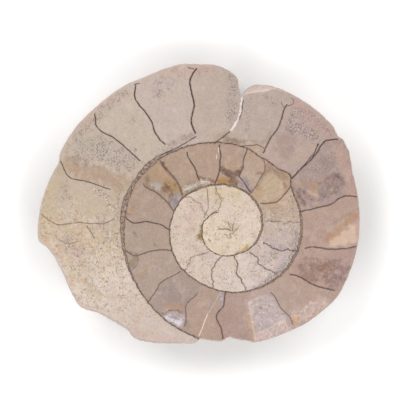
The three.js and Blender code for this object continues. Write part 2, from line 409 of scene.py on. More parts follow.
# Patches: (kind, colour, strength, half-width, softness, [(direction, radius), ...]). Later ones lie over
# earlier ones. A stain spreads over the septa, and the other kinds stay in the chamber where they start.
PATCHES = [
    # The outermost whorl, from its oldest chamber on.
    ("fill", (201, 168, 138), 0.7, 1.6, 1.6, [(-76.5, 51), (-76.5, 44), (-75.5, 36)]),
    ("fill", (166, 136, 126), 0.5, 2.4, 2.4, [(-83, 50), (-78.5, 49)]),
    ("crystal", (192, 176, 174), 1, 5, 0.7, [(-67.5, 39.6), (-68, 45), (-67, 49)]),
    ("crystal", (192, 176, 174), 1, 2.4, 0.6, [(-72.3, 36.6), (-71.8, 42), (-71.6, 48)]),
    ("crystal", (192, 176, 174), 1, 2.6, 0.7, [(-62, 36.8), (-60, 42), (-59, 47)]),
    ("crystal", (214, 188, 180), 0.75, 2.6, 1.6, [(-73.5, 51.5), (-66.5, 52), (-60, 51.6)]),
    ("fill", (226, 200, 186), 0.7, 0.4, 0.6, [(-72.8, 34.2), (-66, 34), (-59.5, 35)]),
    ("crystal", (206, 182, 172), 0.8, 3.4, 2.6, [(-51, 51.5), (-45, 52.8), (-39, 54.6)]),
    ("fill", (204, 160, 112), 0.7, 1.2, 1.2, [(-54, 52), (-52.6, 51.5)]),
    ("crystal", (158, 128, 116), 1, 5.4, 1.4, [(-26, 42), (-22.5, 47), (-20.5, 53)]),
    ("crystal", (152, 124, 118), 0.8, 3.2, 1.8, [(-26.5, 54), (-20, 56)]),
    ("fill", (146, 122, 124), 0.7, 1.8, 1.5, [(-24.6, 55.5), (-23.2, 57)]),
    ("fill", (152, 116, 102), 0.6, 1.8, 1.5, [(-22, 46.5), (-18.5, 49)]),
    ("fill", (192, 162, 150), 0.7, 1.5, 1.2, [(-14, 42.5), (-12.5, 49)]),
    ("fill", (220, 190, 168), 1, 2.2, 1.2, [(-6, 49), (-4.4, 53), (-3.2, 58)]),
    ("fill", (220, 190, 168), 0.95, 2, 1.2, [(-1.8, 54), (0.8, 58)]),
    ("fill", (186, 142, 110), 0.85, 1.2, 1.2, [(-5.3, 46), (-0.8, 49.7), (2.9, 53.2), (6, 57.6), (7, 60)]),
    ("fill", (214, 176, 164), 0.6, 1.2, 1.4, [(-3, 60.4), (3, 60.6)]),
    ("fill", (152, 128, 122), 0.5, 0.5, 0.9, [(4.8, 49.7), (8.1, 56), (9.9, 61.5)]),
    ("crystal", (150, 127, 120), 0.9, 3.4, 1.4, [(22, 47.5), (22.4, 52), (24.5, 56)]),
    ("fill", (98, 82, 86), 0.75, 0.9, 1.2, [(28.5, 56.5), (25.5, 58), (22.5, 58.6)]),
    ("fill", (130, 102, 90), 0.65, 0.6, 1, [(27.8, 47.5), (27.8, 51), (29, 55.5)]),
    ("fill", (178, 162, 164), 0.35, 0.8, 1, [(17.8, 45), (17.8, 50), (19, 53)]),
    ("fill", (120, 94, 92), 0.85, 0.7, 1.1, [(33.5, 36.2), (30, 37), (25, 37), (20, 37.6)]),
    ("fill", (120, 94, 92), 0.75, 0.7, 1.1, [(31, 38.4), (26.5, 39.8), (21.5, 42)]),
    ("fill", (126, 100, 98), 0.6, 0.5, 0.9, [(28, 39.8), (23.5, 41.4), (19.5, 44.5)]),
    ("fill", (184, 142, 104), 0.6, 1.6, 1.6, [(30.5, 43.5), (27, 45.5)]),
    ("fill", (208, 172, 146), 0.6, 1.4, 1.4, [(25.5, 41.5), (22.5, 44)]),
    ("fill", (188, 158, 130), 0.6, 0.9, 1.2, [(34, 37.5), (32.5, 40)]),
    ("fill", (150, 130, 128), 0.5, 1.8, 2, [(37, 55), (33.5, 59)]),
    ("stain", (190, 158, 130), 0.95, 0.9, 0.8, [(76, 41), (70.5, 41.4), (66.5, 40.4)]),
    ("fill", (172, 146, 136), 0.7, 4, 3.2, [(55, 46), (58, 51)]),
    ("fill", (196, 172, 150), 0.6, 1.6, 2, [(47.5, 44), (46, 50), (44.5, 55)]),
    ("fill", (166, 142, 128), 0.5, 0.8, 1.3, [(78, 43.8), (70, 44.2), (67.5, 46), (67.2, 50)]),
    ("fill", (182, 154, 132), 0.85, 4, 5, [(155.5, 56), (156.5, 66), (157.5, 80)]),
    ("fill", (182, 168, 140), 0.45, 2.4, 3, [(160, 84), (156.5, 80)]),
    ("stain", (188, 166, 128), 0.45, 1.2, 1.6, [(165, 57), (160, 55), (155.5, 53.5)]),
    ("stain", (208, 182, 140), 0.4, 1.6, 2.6, [(182, 86), (176, 86), (168, 85), (163, 84)]),
    ("stain", (200, 160, 142), 0.35, 1, 2, [(165, 80), (168, 76)]),
    ("stain", (206, 176, 166), 0.4, 2, 3, [(186, 76), (187, 70)]),
    ("stain", (214, 184, 176), 0.6, 1.6, 2.2, [(226, 64), (234, 61.5), (246, 56)]),
    ("stain", (216, 190, 184), 0.4, 3, 4, [(206, 62), (214, 58), (222, 56)]),
    ("stain", (204, 178, 132), 0.4, 1.6, 2.6, [(196, 74), (202, 71), (208, 66)]),
    ("stain", (212, 178, 140), 0.45, 1, 1.8, [(181, 86.5), (185, 83.5), (188, 81)]),
    ("stain", (196, 176, 142), 0.35, 1.4, 2.4, [(200, 56), (190, 54), (180, 54)]),
    ("stain", (232, 208, 204), 0.7, 2, 1.6, [(75.5, 69.2), (79.5, 68.8), (83, 66.8)]),
    ("stain", (176, 150, 128), 0.5, 1, 1.4, [(98.5, 44), (93, 46)]),
    ("fill", (150, 122, 102), 0.85, 1.1, 1.4, [(81, 42.6), (87, 42.6), (93, 43.2)]),
    ("fill", (172, 150, 140), 0.5, 1.6, 1.6, [(112, 48.5), (120, 48.5), (128, 49.5)]),
    ("stain", (206, 172, 160), 0.5, 2.4, 2.4, [(97, 76), (104, 78), (112, 80)]),
    ("stain", (206, 176, 160), 0.45, 2.6, 2.6, [(128, 82), (136, 84), (144, 84)]),
    ("stain", (198, 160, 148), 0.5, 2.4, 2.4, [(62, 67), (54, 66), (44, 65)]),
    ("stain", (204, 166, 150), 0.5, 2.2, 2.2, [(36, 64), (28, 62), (18, 60)]),
    # The middle whorl.
    ("crystal", (172, 160, 166), 0.7, 1.7, 1.4, [(-98, 29.5), (-94, 33), (-95, 37)]),
    ("fill", (160, 146, 146), 0.45, 1.2, 1.2, [(-103.5, 33), (-106.5, 44)]),
    ("fill", (158, 140, 134), 0.65, 4.4, 3.4, [(-134, 40), (-128, 42), (-122, 41)]),
    ("fill", (186, 150, 124), 0.8, 1.4, 1.4, [(-129.5, 46), (-126, 43.4), (-121.5, 42.2)]),
    ("crystal", (188, 172, 170), 1, 1.7, 0.8, [(-127.6, 48), (-123, 46.6), (-119, 46.2)]),
    ("fill", (166, 140, 108), 0.85, 0.7, 0.8, [(-128.4, 49.4), (-127.2, 48)]),
    ("vug", (214, 208, 212), 0.95, 1.3, 0.8, [(-125.4, 50), (-121, 48.6), (-118, 49.2)]),
    ("fill", (124, 92, 64), 0.9, 0.25, 0.5,
     [(-129.4, 50.2), (-128.7, 48.5), (-125.7, 45.4), (-122.2, 44.2), (-119.8, 44)]),
    ("fill", (140, 128, 108), 0.55, 0.9, 1.2, [(-115, 46.8), (-113.6, 49.8)]),
    ("stain", (112, 84, 56), 0.8, 0.3, 0.5, [(190.6, 48.9), (192.6, 46.6), (194.3, 44.4)]),
    ("fill", (146, 128, 100), 0.7, 1.6, 1.4, [(-161, 48.2), (-164, 46)]),
    ("fill", (176, 148, 122), 0.5, 1.4, 1.4, [(-157, 42), (-152, 47)]),
    ("fill", (132, 110, 106), 0.85, 0.35, 0.6, [(-179, 44.2), (-177, 43.6)]),
    ("fill", (132, 110, 106), 0.85, 0.35, 0.6, [(-170.8, 35.8), (-169, 34.8)]),
    ("fill", (132, 110, 96), 0.6, 0.6, 0.8, [(-190, 49.6), (-189.6, 47)]),
    ("fill", (180, 140, 104), 0.6, 1, 1.2, [(-191.5, 48.5), (-193.5, 46)]),
    ("fill", (184, 152, 124), 0.6, 1.4, 1.6, [(-206, 47.5), (-197, 49)]),
    ("fill", (184, 152, 120), 0.8, 3.2, 2, [(-218.5, 43), (-220, 38), (-219, 33)]),
    ("stain", (108, 76, 62), 0.9, 0.7, 0.7, [(134.2, 44.6), (135.4, 41.4), (135.8, 38.6)]),
    ("stain", (138, 102, 74), 0.75, 0.45, 0.6, [(135.8, 38.6), (136, 34.4), (138.6, 30.4), (142, 27.6)]),
    ("fill", (196, 164, 136), 0.6, 1.4, 1.4, [(-222, 45), (-222.5, 40)]),
    ("crystal", (168, 160, 154), 1, 2, 0.9, [(-211.5, 41.6), (-212.8, 39.2)]),
    ("fill", (150, 118, 92), 0.8, 0.7, 0.8, [(-213.5, 45.8), (-209.5, 43.8), (-209.3, 40.5)]),
    ("fill", (132, 98, 68), 0.9, 1.4, 1.2, [(-213.5, 36.2), (-215, 33), (-211, 31.5)]),
    ("fill", (178, 138, 92), 0.8, 1.3, 1.2, [(-218.5, 36.5), (-219.5, 32)]),
    ("fill", (112, 82, 62), 0.8, 0.45, 0.7, [(-216.8, 37.6), (-216, 35.4)]),
    ("fill", (112, 82, 62), 0.7, 0.4, 0.7, [(-221, 33.6), (-220.2, 32.4)]),
    ("crystal", (158, 145, 145), 1, 2.3, 0.9, [(-211.5, 29), (-207.5, 29)]),
    ("fill", (120, 88, 70), 0.7, 0.5, 0.8, [(-213.5, 30.9), (-210.5, 31.1), (-207, 31)]),
    ("vug", (204, 198, 188), 0.95, 1, 0.8, [(-224, 28.4), (-228.5, 27.2), (-234, 26.6)]),
    ("fill", (134, 112, 88), 0.9, 0.6, 0.7, [(-222.5, 27.4), (-230, 25.6), (-238, 25)]),
    ("fill", (166, 140, 118), 0.8, 0.7, 0.8, [(-225, 30), (-231, 28.9), (-237, 28.2)]),
    ("vug", (206, 198, 184), 0.95, 0.8, 0.8, [(-241.5, 26.6), (-246, 25.4)]),
    ("fill", (126, 98, 76), 0.85, 0.6, 0.8, [(-241, 29), (-243.5, 27.8), (-248, 26.2), (-253, 24.6)]),
    ("fill", (178, 130, 78), 0.95, 1.4, 0.8, [(-260.5, 24.2), (-266.5, 23.7)]),
    ("fill", (138, 112, 72), 1, 1.2, 0.7, [(-271.5, 23.4), (-276, 23)]),
    ("fill", (116, 88, 74), 1, 1.6, 0.9, [(-263, 29.4), (-267.5, 28.1), (-272.5, 26.5), (-279, 27.4)]),
    ("fill", (126, 98, 82), 1, 0.8, 0.7, [(-273, 26.5), (-277, 24.2), (-279.5, 22)]),
    ("fill", (112, 84, 72), 0.9, 0.55, 0.8, [(-281.6, 30.6), (-280.3, 27.6), (-280.8, 26)]),
    ("crystal", (160, 147, 144), 1, 2.2, 0.8, [(-286.5, 24.2), (-291, 22.2), (-297, 20.6)]),
    ("fill", (190, 152, 108), 0.6, 0.9, 1.4, [(-283.8, 37), (-287, 38)]),
    ("fill", (188, 156, 128), 0.5, 2.2, 2.2, [(-271, 31.5), (-276, 32)]),
    ("fill", (122, 94, 72), 0.7, 0.3, 0.6, [(-299, 31), (-294.5, 29.6)]),
    ("fill", (158, 130, 112), 0.85, 1.7, 1.4, [(-302, 35.8), (-310, 35.6), (-316, 36.4)]),
    ("fill", (160, 132, 112), 0.8, 1.1, 1, [(-302.4, 34), (-302.6, 29.5), (-303, 24)]),
    ("fill", (202, 178, 150), 0.8, 3.6, 1.6, [(-310, 31), (-314, 28), (-315, 25)]),
    ("fill", (194, 162, 120), 0.5, 1.4, 1.6, [(-305.5, 27), (-308.5, 22.5)]),
    ("fill", (214, 190, 166), 0.7, 1.2, 1.6, [(-317, 33), (-322, 30)]),
    ("fill", (164, 128, 102), 0.85, 0.5, 0.8, [(-310.5, 35.2), (-318, 34.6), (-322.5, 33.6)]),
    ("fill", (112, 96, 84), 0.8, 0.35, 0.6, [(184.8, 59), (186.2, 59.2)]),
    # The cream whorls and their core.
    ("stain", (178, 163, 162), 0.7, 1.5, 1.8,
     [(-425, 29.6), (-412, 30.2), (-396, 31), (-384, 32), (-368, 32)]),
    ("stain", (196, 178, 184), 0.5, 2.2, 2.4, [(-375, 22), (-382, 26), (-392, 29)]),
    ("stain", (190, 166, 134), 0.6, 1.8, 1.8, [(-331, 22), (-334, 27)]),
    ("stain", (148, 122, 70), 1, 0.7, 0.5, [(170, 13.2), (180, 13.1), (187, 13.2)]),
    ("stain", (148, 122, 70), 1, 1.3, 0.5, [(190.5, 13.7), (193.5, 13.8)]),
    ("stain", (196, 160, 142), 0.5, 0.7, 1, [(-181, 19.5), (-185, 17), (-188, 16)]),
    ("stain", (206, 182, 124), 0.85, 0.6, 0.8, [(-74, 10.7), (-62, 10.9), (-50, 11), (-38, 11.2)]),
    ("stain", (176, 148, 86), 0.9, 0.5, 0.6, [(-70, 10.9), (-50, 11.3), (-38, 11.6)]),
    ("stain", (224, 204, 164), 0.5, 1.4, 1.8, [(-118, 10.2), (-90, 10.4), (-65, 9.4)]),
    ("stain", (190, 172, 176), 0.5, 1.4, 1.4, [(-370, 13.2), (-380, 14.2), (-390, 14.5)]),
    ("stain", (216, 196, 150), 0.5, 3, 3, [(-610, 20), (-625, 18), (-640, 17)]),
    ("stain", (212, 184, 176), 0.5, 2.2, 2.4, [(-590, 19), (-560, 20)]),
    ("stain", (210, 180, 150), 0.6, 1.6, 2, [(-690, 3.5), (-640, 3)]),
]

# Where dendrites grew: (density, half-width, softness, [(direction, radius), ...]).
DENDRITES = [
    (1, 2, 2.5, [(112, 75), (115, 78), (117.5, 73)]),
    (0.8, 1.2, 2, [(106.5, 77), (108.5, 79)]),
    (0.6, 1.6, 2.2, [(99, 77), (103, 74)]),
    (1, 1.8, 2, [(88.5, 74), (88.5, 66), (88, 57), (90, 52)]),
    (0.8, 1, 1.6, [(82.5, 60), (80.5, 54), (80, 48)]),
    (0.9, 1.6, 2.5, [(127, 81), (133, 82), (140, 82), (147, 84), (153, 85)]),
    (0.7, 1.2, 1.8, [(129, 70), (132, 69)]),
    (1, 5.2, 4, [(146, 74), (146.5, 66), (145, 58)]),
    (0.8, 3, 3, [(150, 82), (154, 78), (151, 70)]),
    (0.8, 1.6, 2, [(164, 80), (168, 78)]),
    (0.6, 2, 2.4, [(172, 58), (178, 60), (184, 57)]),
    (1, 3.6, 3.5, [(60, 58), (54, 58), (49, 60), (45, 62)]),
    (0.8, 2.6, 3, [(44, 65), (54, 66), (61, 64)]),
    (0.6, 2.6, 3, [(35, 60), (34, 54), (36, 48)]),
    (0.9, 1, 1.4, [(30, 37), (26, 39.5), (22, 41)]),
    (0.5, 1.6, 2, [(75, 66), (70, 64)]),
    (1, 1, 1.4, [(134, 51), (125, 48.5), (117, 48.4), (111, 48.6)]),
    (0.8, 1, 1.4, [(158, 55), (166, 53.6), (180, 53)]),
    (0.6, 3, 4, [(182, 76), (192, 70), (200, 68)]),
    (0.9, 1.6, 2, [(-425, 29.4), (-410, 29.6), (-395, 30.6), (-378, 32), (-360, 32.5)]),
    (0.7, 2, 3, [(-420, 23), (-400, 22), (-380, 25)]),
    (0.7, 1.2, 1.6, [(-480, 14.5), (-500, 17), (-520, 19)]),
]

# Where coarse dark and pale grains lie close together: (density, half-width, softness, places as above).
GRAIN_CLUSTERS = [
    (1, 1.8, 2.4, [(162.5, 64.5), (165, 60), (169, 55)]),
    (0.6, 2, 3, [(168, 76), (173, 72), (177, 74)]),
    (0.5, 1.6, 2.4, [(178, 58), (184, 62)]),
    (0.5, 2, 3, [(196, 58), (202, 62)]),
    (0.5, 1.4, 2, [(213, 57), (219, 60)]),
    (0.4, 1.2, 2, [(228, 58), (233, 60)]),
]


def linear(colour):
    """A colour as it looks under the studio's light, sRGB 0 to 255, as the stone's own linear colour."""
    share = np.array(colour, float) / 255
    return STONE_SHADE * np.where(share <= 0.04045, share / 12.92, ((share + 0.055) / 1.055) ** 2.4)


def rgba(colour):
    return (*linear(colour), 1)


# ---- what each point of the section is made of ----

SAMPLE_STEP = 0.1  # along a line, where distances to it are measured from, mm
PATCH_WAVES = 2.2  # the size of the waves in a patch's edge, mm
FAR = 4.0  # beyond this distance from a line's edge it doesn't matter how far, mm


def nearest_line(points, lines):
    """Each point's distance from the nearest line's edge (negative inside it), and that line's strength."""
    samples = []
    for _, strength, line, width in lines:
        finer = every(SAMPLE_STEP, line)
        widths = np.interp(np.linspace(0, 1, len(finer)), np.linspace(0, 1, len(width)), width)
        samples += [(x, y, w / 2, strength) for (x, y), w in zip(finer, widths)]
    tree = kdtree.KDTree(len(samples))
    for i, (x, y, _, _) in enumerate(samples):
        tree.insert((x, y, 0), i)
    tree.balance()
    found = [tree.find((x, y, 0)) for x, y in points]
    half_width = np.array([samples[i][2] for _, i, _ in found])
    strength = np.array([samples[i][3] for _, i, _ in found])
    distance = np.array([d for _, _, d in found])
    return np.minimum(distance - half_width, FAR), strength


def distance_to(points, corners):
    """Each point's distance from a line through these corners."""
    nearest = np.full(len(points), np.inf)
    for start, end in zip(corners[:-1], corners[1:]):
        along = end - start
        share = np.clip((points - start) @ along / (along @ along), 0, 1)
        nearest = np.minimum(nearest, np.hypot(*(points - start - share[:, None] * along).T))
    return nearest


def whorl_of(points):
    """0 on the outermost whorl, 1 on the next one in, and so on."""
    direction, _ = direction_and_radius(points)
    place, _ = place_on_coil(points)
    return np.round((direction - place) / TURN)


def smooth_noise(points, size, key):
    """Noise of this size at each point, in the pattern that the key picks."""
    return np.array([noise.fractal(Vector((x / size, y / size, key)), 1.0, 2.0, 3) for x, y in points])


def spread(points, waver, half_width, softness, places):
    """How much of a patch each point has, 0 to 1."""
    distance = distance_to(points, corners_at(places)) + waver * (half_width + softness) * 0.5
    return 1 - smoothstep(half_width - softness * 0.5, half_width + softness * 0.5, distance)


def chamber_of(place, share):
    """The number of the chamber that each point is in, and the place of that chamber's middle."""
    steps = np.array(sorted(septum[-1] for septum in OUTER_SEPTA + MIDDLE_SEPTA + INNER_SEPTA), float)
    last_step = steps.shape[1] - 1
    across = np.clip((1 - share) * last_step, 0, last_step - 0.001)
    step = across.astype(int)
    between = across - step
    septa_here = steps[:, step] * (1 - between) + steps[:, step + 1] * between
    chamber = np.sum(septa_here < place, axis=0)
    first = np.vstack([np.full(len(place), LIMESTONE[0][0]), septa_here])
    last = np.vstack([septa_here, np.full(len(place), MOUTH)])
    point = np.arange(len(place))
    return chamber, (first[chamber, point] + last[chamber, point]) / 2


def limestone_colour(place, middle):
    """The limestone's colour at each place, mostly that of its chamber's middle."""
    blend = np.where((place < UNDIVIDED[0]) | (place > UNDIVIDED[1]), 1, CHAMBER_BLEND)
    at = middle + blend * (place - middle)
    places = [p for p, _ in LIMESTONE]
    colours = linear([colour for _, colour in LIMESTONE])
    return np.stack([np.interp(at, places, channel) for channel in colours.T], axis=-1)


def describe_section(points, lines):
    """What the polished section is made of at each point, as named values for the mesh."""
    place, share = place_on_coil(points)
    whorl = whorl_of(points)
    chamber, middle = chamber_of(place, share)
    waver = smooth_noise(points, PATCH_WAVES, 1)
    colour = limestone_colour(place, middle)
    crystals = np.zeros(len(points))
    vug = np.zeros(len(points))
    for kind, patch_colour, strength, half_width, softness, places in PATCHES:
        mask = spread(points, waver, half_width, softness, places)
        start = corners_at(places[:1])
        mask *= whorl == whorl_of(start)
        if kind != "stain":
            mask *= chamber == chamber_of(*place_on_coil(start))[0]
        colour += (mask * strength)[:, None] * (linear(patch_colour) - colour)
        if kind in ("crystal", "vug"):
            crystals = np.maximum(crystals, mask)
        if kind == "vug":
            vug = np.maximum(vug, mask)
    values = {"fill": colour, "crystals": crystals, "vug": vug}
    for name, clumps in [("dendrites", DENDRITES), ("grain_clusters", GRAIN_CLUSTERS)]:
        values[name] = np.zeros(len(points))
        for density, half_width, softness, places in clumps:
            mask = spread(points, waver, half_width, softness, places)
            mask *= whorl == whorl_of(corners_at(places[:1]))
            values[name] = np.maximum(values[name], density * mask)
    values["cream"] = smoothstep(*CREAM, place)
    values["old_chamber"] = smoothstep(*OLD_CHAMBER, place) * (1 - CALM_LOSS * smoothstep(*CALMER, place))
    for kind in LINE_DEPTHS:
        distance, strength = nearest_line(points, [line for line in lines if line[0] == kind])
        values[kind] = distance
        values[kind + "_strength"] = strength
    return values


# ---- the mesh ----

# Where the coil's axis meets the surface that the fossil rests on, in the shared frame, mm.
CENTRE = Vector(CAD_BOX[0]) / MM - Vector((*corners_at(OUTLINE).min(axis=0), 0))
THICKNESS = (CAD_BOX[1].z - CAD_BOX[0].z) / MM

# The columns of points round the edge, closer together where the notch is, in degrees.
COLUMN_STEP = 0.8
NOTCH = (81.5, 89.5)
NOTCH_STEP = 0.25

BACK_RINGS = 100  # of points, from the edge in to the axis
LAST_RING = 0.6  # the innermost ring's radius
PROFILE_SAMPLES = 500  # places where the underside's depth is worked out before the rings are spaced
BEVEL_HIGHLIGHT_RINGS = (2.4, 0.2)  # rings from the bevel between which the painted highlight of the edge begins
CALM_RINGS = 5  # rings from the bevel over which the wear begins

# The points of the polished face, in mm.
ROW_GAP = 0.13  # the least distance between points on the lines
FILL_STEP = 0.85  # between the scattered points
VUG_STEP = 0.35  # and in a vug, an open pocket of crystals
RIM_GAP = 0.35  # from the rim to the lines
RIM_MARGIN = 0.5  # from the rim to the scattered points

# As shares of the step between scattered points.
JITTER = 0.22
FILL_GAP = 0.55  # the least distance between them
VUG_GAP = 0.7

# How a line's edge slopes down, and the crystals of a vug, mm.
LINE_SLOPE = 0.2
CRACK_SLOPE = 0.35
CRYSTAL_HEIGHT = 1.1
CRYSTAL_SIZE = 1.4

# The polished face stops short of the fossil's edge by this much: (direction, mm). The bevel has three rows
# of points: the rim, its middle, and where it ends on the flank.
BEVEL = [
    (-105, 0.5), (-60, 0.3), (66, 0.3), (76, 1.8), (83, 2.4), (84.5, 0.8), (86, 0.6), (92, 0.4), (178, 0.4),
    (184, 1.0), (200, 0.8), (214, 1.4), (225, 1.6), (240, 1.6), (252, 1.0), (255, 0.5),
]
MIDDLE_INWARDS = 0.3  # from the edge to the bevel's middle, as a share of the bevel's width
MIDDLE_DROP = 0.25  # from the face down to its middle, as a share of the width
BEVEL_DROP = 0.9  # and down to its end

# How rough the edge is: (direction, mm).
ROUGHNESS = [
    (-105, 0.5), (-92, 0.9), (-78, 0.8), (-70, 0.25), (-30, 0.3), (-24, 0.7), (-18, 0.3), (20, 0.2),
    (36, 0.5), (60, 0.3), (74, 0.5), (84, 0.6), (96, 0.5), (110, 0.2), (180, 0.2), (186, 0.7), (250, 0.8),
    (255, 0.5),
]
LARGE_CHIPS, SMALL_CHIPS = 3, 1.1  # mm
RIBS_PER_WHORL = 52
RIB_LEAN = 9  # degrees that a rib leans forward from the inner to the outer edge of its whorl
RIB_HEIGHT = 0.5
RIB_SHARPNESS = 1.8  # 1 is a plain wave, more has narrower ribs and wider hollows
RIB_START = 0.25  # the ribs begin over this share of the way out across the whorl
EROSION = 0.5  # how deep the flank has weathered, mm
BROAD_WEAR, FINE_WEAR = 6, 1.8  # the sizes of its hollows, mm
BREAK_START = (181, 187)  # directions between which the broken edge of the old living chamber begins
BREAK_SHARE = (0.86, 0.96)  # and the shares of the edge's radius between which it begins
BREAK_ROUGHNESS = 1.3
WORN_FLAT = (0.9, 0.02)  # the flank is worn where it is less than these heights above its lowest level, mm

bevel_width = curve_through(BEVEL)
edge_roughness = curve_through(ROUGHNESS)


def column_directions():
    columns = [
        np.arange(START, NOTCH[0], COLUMN_STEP),
        np.arange(NOTCH[0], NOTCH[1], NOTCH_STEP),
        np.arange(NOTCH[1], MOUTH, COLUMN_STEP),
    ]
    return np.concatenate(columns)


def edge_radius(direction):
    """The outline with its small chips, which only go inwards."""
    flat = polar(direction, outline_radius(direction))
    chips = smooth_noise(flat, LARGE_CHIPS, 7) + 0.6 * smooth_noise(flat, SMALL_CHIPS, 8)
    return outline_radius(direction) - edge_roughness(direction) * np.clip(0.12 + 0.6 * chips, 0, 1)


def along_normals(line):
    """The direction square to the line at each of its points."""
    along = np.gradient(line, axis=0)
    along /= np.maximum(np.hypot(*along.T), 1e-9)[:, None]
    return np.stack([-along[:, 1], along[:, 0]], axis=-1)


class Scatter:
    """Points no closer to each other than a gap."""

    def __init__(self):
        self.points = []
        self.cells = {}

    def add(self, candidates, gap):
        reach = math.ceil(gap / ROW_GAP)
        for x, y in candidates:
            column, row = int(x // ROW_GAP), int(y // ROW_GAP)
            around = [(i, j) for i in range(column - reach, column + reach + 1)
                      for j in range(row - reach, row + reach + 1)]
            near = [self.cells[cell] for cell in around if cell in self.cells]
            if all((x - a) ** 2 + (y - b) ** 2 >= gap * gap for a, b in near):
                self.cells[column, row] = (x, y)
                self.points.append((x, y))


def grid(low, high, step, draw):
    """Jittered points on a triangular grid between two corners."""
    rows = np.arange(low[1], high[1], step * math.sqrt(3) / 2)
    points = []
    for i, y in enumerate(rows):
        x = np.arange(low[0] + (i % 2) * step / 2, high[0], step)
        points.append(np.stack([x, np.full(len(x), y)], axis=-1))
    points = np.concatenate(points)
    return points + draw.uniform(-JITTER, JITTER, points.shape) * step


def section_points(lines, rim):
    """The points of the polished face inside its rim: rows along every line, and a scatter between them."""
    draw = np.random.default_rng(SEED)
    rim_direction, rim_radius = direction_and_radius(rim)
    order = np.argsort(rim_direction)

    def inside(points, gap):
        direction, radius = direction_and_radius(points)
        limit = np.interp(direction, rim_direction[order], rim_radius[order], period=TURN)
        return points[radius < limit - gap]

    scatter = Scatter()
    # One row along the middle of each line, then its two edges, then a row beside each edge.
    for share, margin in [(0, 0), (0.5, 0), (-0.5, 0), (0.5, LINE_MARGIN), (-0.5, -LINE_MARGIN)]:
        for _, _, line, width in lines:
            row = line + along_normals(line) * (share * width + margin)[:, None]
            scatter.add(inside(row, RIM_GAP), ROW_GAP)
    for kind, _, _, half_width, _, places in PATCHES:
        if kind == "vug":
            corners = corners_at(places)
            around = grid(corners.min(axis=0) - half_width, corners.max(axis=0) + half_width, VUG_STEP, draw)
            scatter.add(around[distance_to(around, corners) < half_width], VUG_STEP * VUG_GAP)
    between = grid(rim.min(axis=0), rim.max(axis=0), FILL_STEP, draw)
    scatter.add(inside(between, RIM_MARGIN), FILL_STEP * FILL_GAP)
    return np.array(scatter.points)


def section_depth(points, values):
    """How far the section's surface is below the flat: lines are sunk a little, and a vug is open."""
    depth = np.zeros(len(points))
    for kind, sunk in LINE_DEPTHS.items():
        slope = CRACK_SLOPE if kind == "crack" else LINE_SLOPE
        depth = np.maximum(depth, sunk * (1 - smoothstep(-slope, slope * 0.3, values[kind])))
    facets = np.array([noise.voronoi(Vector((*(p / CRYSTAL_SIZE), 3)))[0][0] for p in points])
    return depth + values["vug"] * CRYSTAL_HEIGHT * (0.25 + np.clip(facets, 0, 1))


def back_profiles(direction, edge):
    """For each column, evenly spaced points of the underside from the edge in to the coil's axis."""
    profiles = []
    shares = np.sin(np.linspace(math.pi / 2, 0, PROFILE_SAMPLES))
    for column, radius_at_edge in zip(direction, edge):
        radius = LAST_RING + (radius_at_edge - LAST_RING) * shares
        top = BEVEL_DROP * bevel_width(np.array([column]))
        deep = np.minimum(underside_depth(radius, column), THICKNESS)
        depth = np.minimum(np.maximum(deep, top), top + EDGE_SLOPE * (radius_at_edge - radius))
        profiles.append(evenly(BACK_RINGS, np.stack([radius, depth], axis=-1)))
    return np.array(profiles)


def flank_place(radius, direction):
    """The place and the share across the whorl of each point of the flank."""
    best = np.full(radius.shape, -1.0)
    place = np.broadcast_to(direction, radius.shape).copy()
    for whorl in range(WHORLS):
        depth = whorl_depth(radius, direction - TURN * whorl, whorl == 0)
        place = np.where(depth > best, direction - TURN * whorl, place)
        best = np.maximum(best, depth)
    inner = INNER_SHARE * coil_radius(place - TURN)
    return place, np.clip((radius - inner) / (OUTER_SHARE * coil_radius(place) - inner), 0, 1)


def solid_noise(points, size, octaves):
    """Noise of this size at each point of a grid of columns and rings."""
    values = [noise.fractal(p / size, 1.0, 2.0, octaves) for p in map(Vector, points.reshape(-1, 3))]
    return np.array(values).reshape(points.shape[:-1])


def back_relief(points, radius, depth, direction):
    """How far each point of the underside is worn away, and the values that its material is painted by."""
    place, share = flank_place(radius, direction[:, None])
    growth = place + RIB_LEAN * share**2
    crest = (0.5 + 0.5 * np.cos(2 * np.pi * growth * RIBS_PER_WHORL / TURN)) ** RIB_SHARPNESS
    hollow = RIB_HEIGHT * (1 - crest) * smoothstep(0, RIB_START, share)
    broad = solid_noise(points, BROAD_WEAR, 4)
    fine = solid_noise(points, FINE_WEAR, 3)
    worn = smoothstep(THICKNESS - WORN_FLAT[0], THICKNESS - WORN_FLAT[1], depth)
    eroded = EROSION * (np.clip(0.5 + broad, 0, 1.4) + 0.9 * np.clip(fine - 0.12, 0, 1))
    broken = smoothstep(*BREAK_START, direction)[:, None] * smoothstep(*BREAK_SHARE, radius / radius[:, :1])
    torn = BREAK_ROUGHNESS * np.clip(0.4 + broad + 0.6 * fine, 0, 1.5)
    faint = smoothstep(-0.25, 0.2, broad)  # some ribs have worn away
    ring = np.arange(radius.shape[1])
    relief = (hollow * faint * (1 - broken) + eroded + torn * broken) * (1 - worn)
    relief = relief * smoothstep(0, CALM_RINGS, ring)[None, :]
    return relief, {
        "worn": worn, "broken": broken, "hollow": hollow * faint / RIB_HEIGHT, "growth": growth,
        "bevel_highlight": np.tile(smoothstep(*BEVEL_HIGHLIGHT_RINGS, ring), (len(direction), 1)), "sunk": relief,
    }


def grid_normals(points):
    """Outward normals of the underside's grid of columns and rings."""
    around = np.roll(points, -1, axis=0) - np.roll(points, 1, axis=0)
    inwards = np.gradient(points, axis=1)
    normals = np.cross(inwards, around)
    return normals / np.maximum(np.linalg.norm(normals, axis=-1, keepdims=True), 1e-9)


# The unwrapped surface: the polished face lies flat in the lower part, and the rings lie in a strip above it.
FACE_UV_SCALE = 5.0  # per metre
UV_MARGIN = 0.002
BACK_UV_LOW = 0.672  # where the strip begins

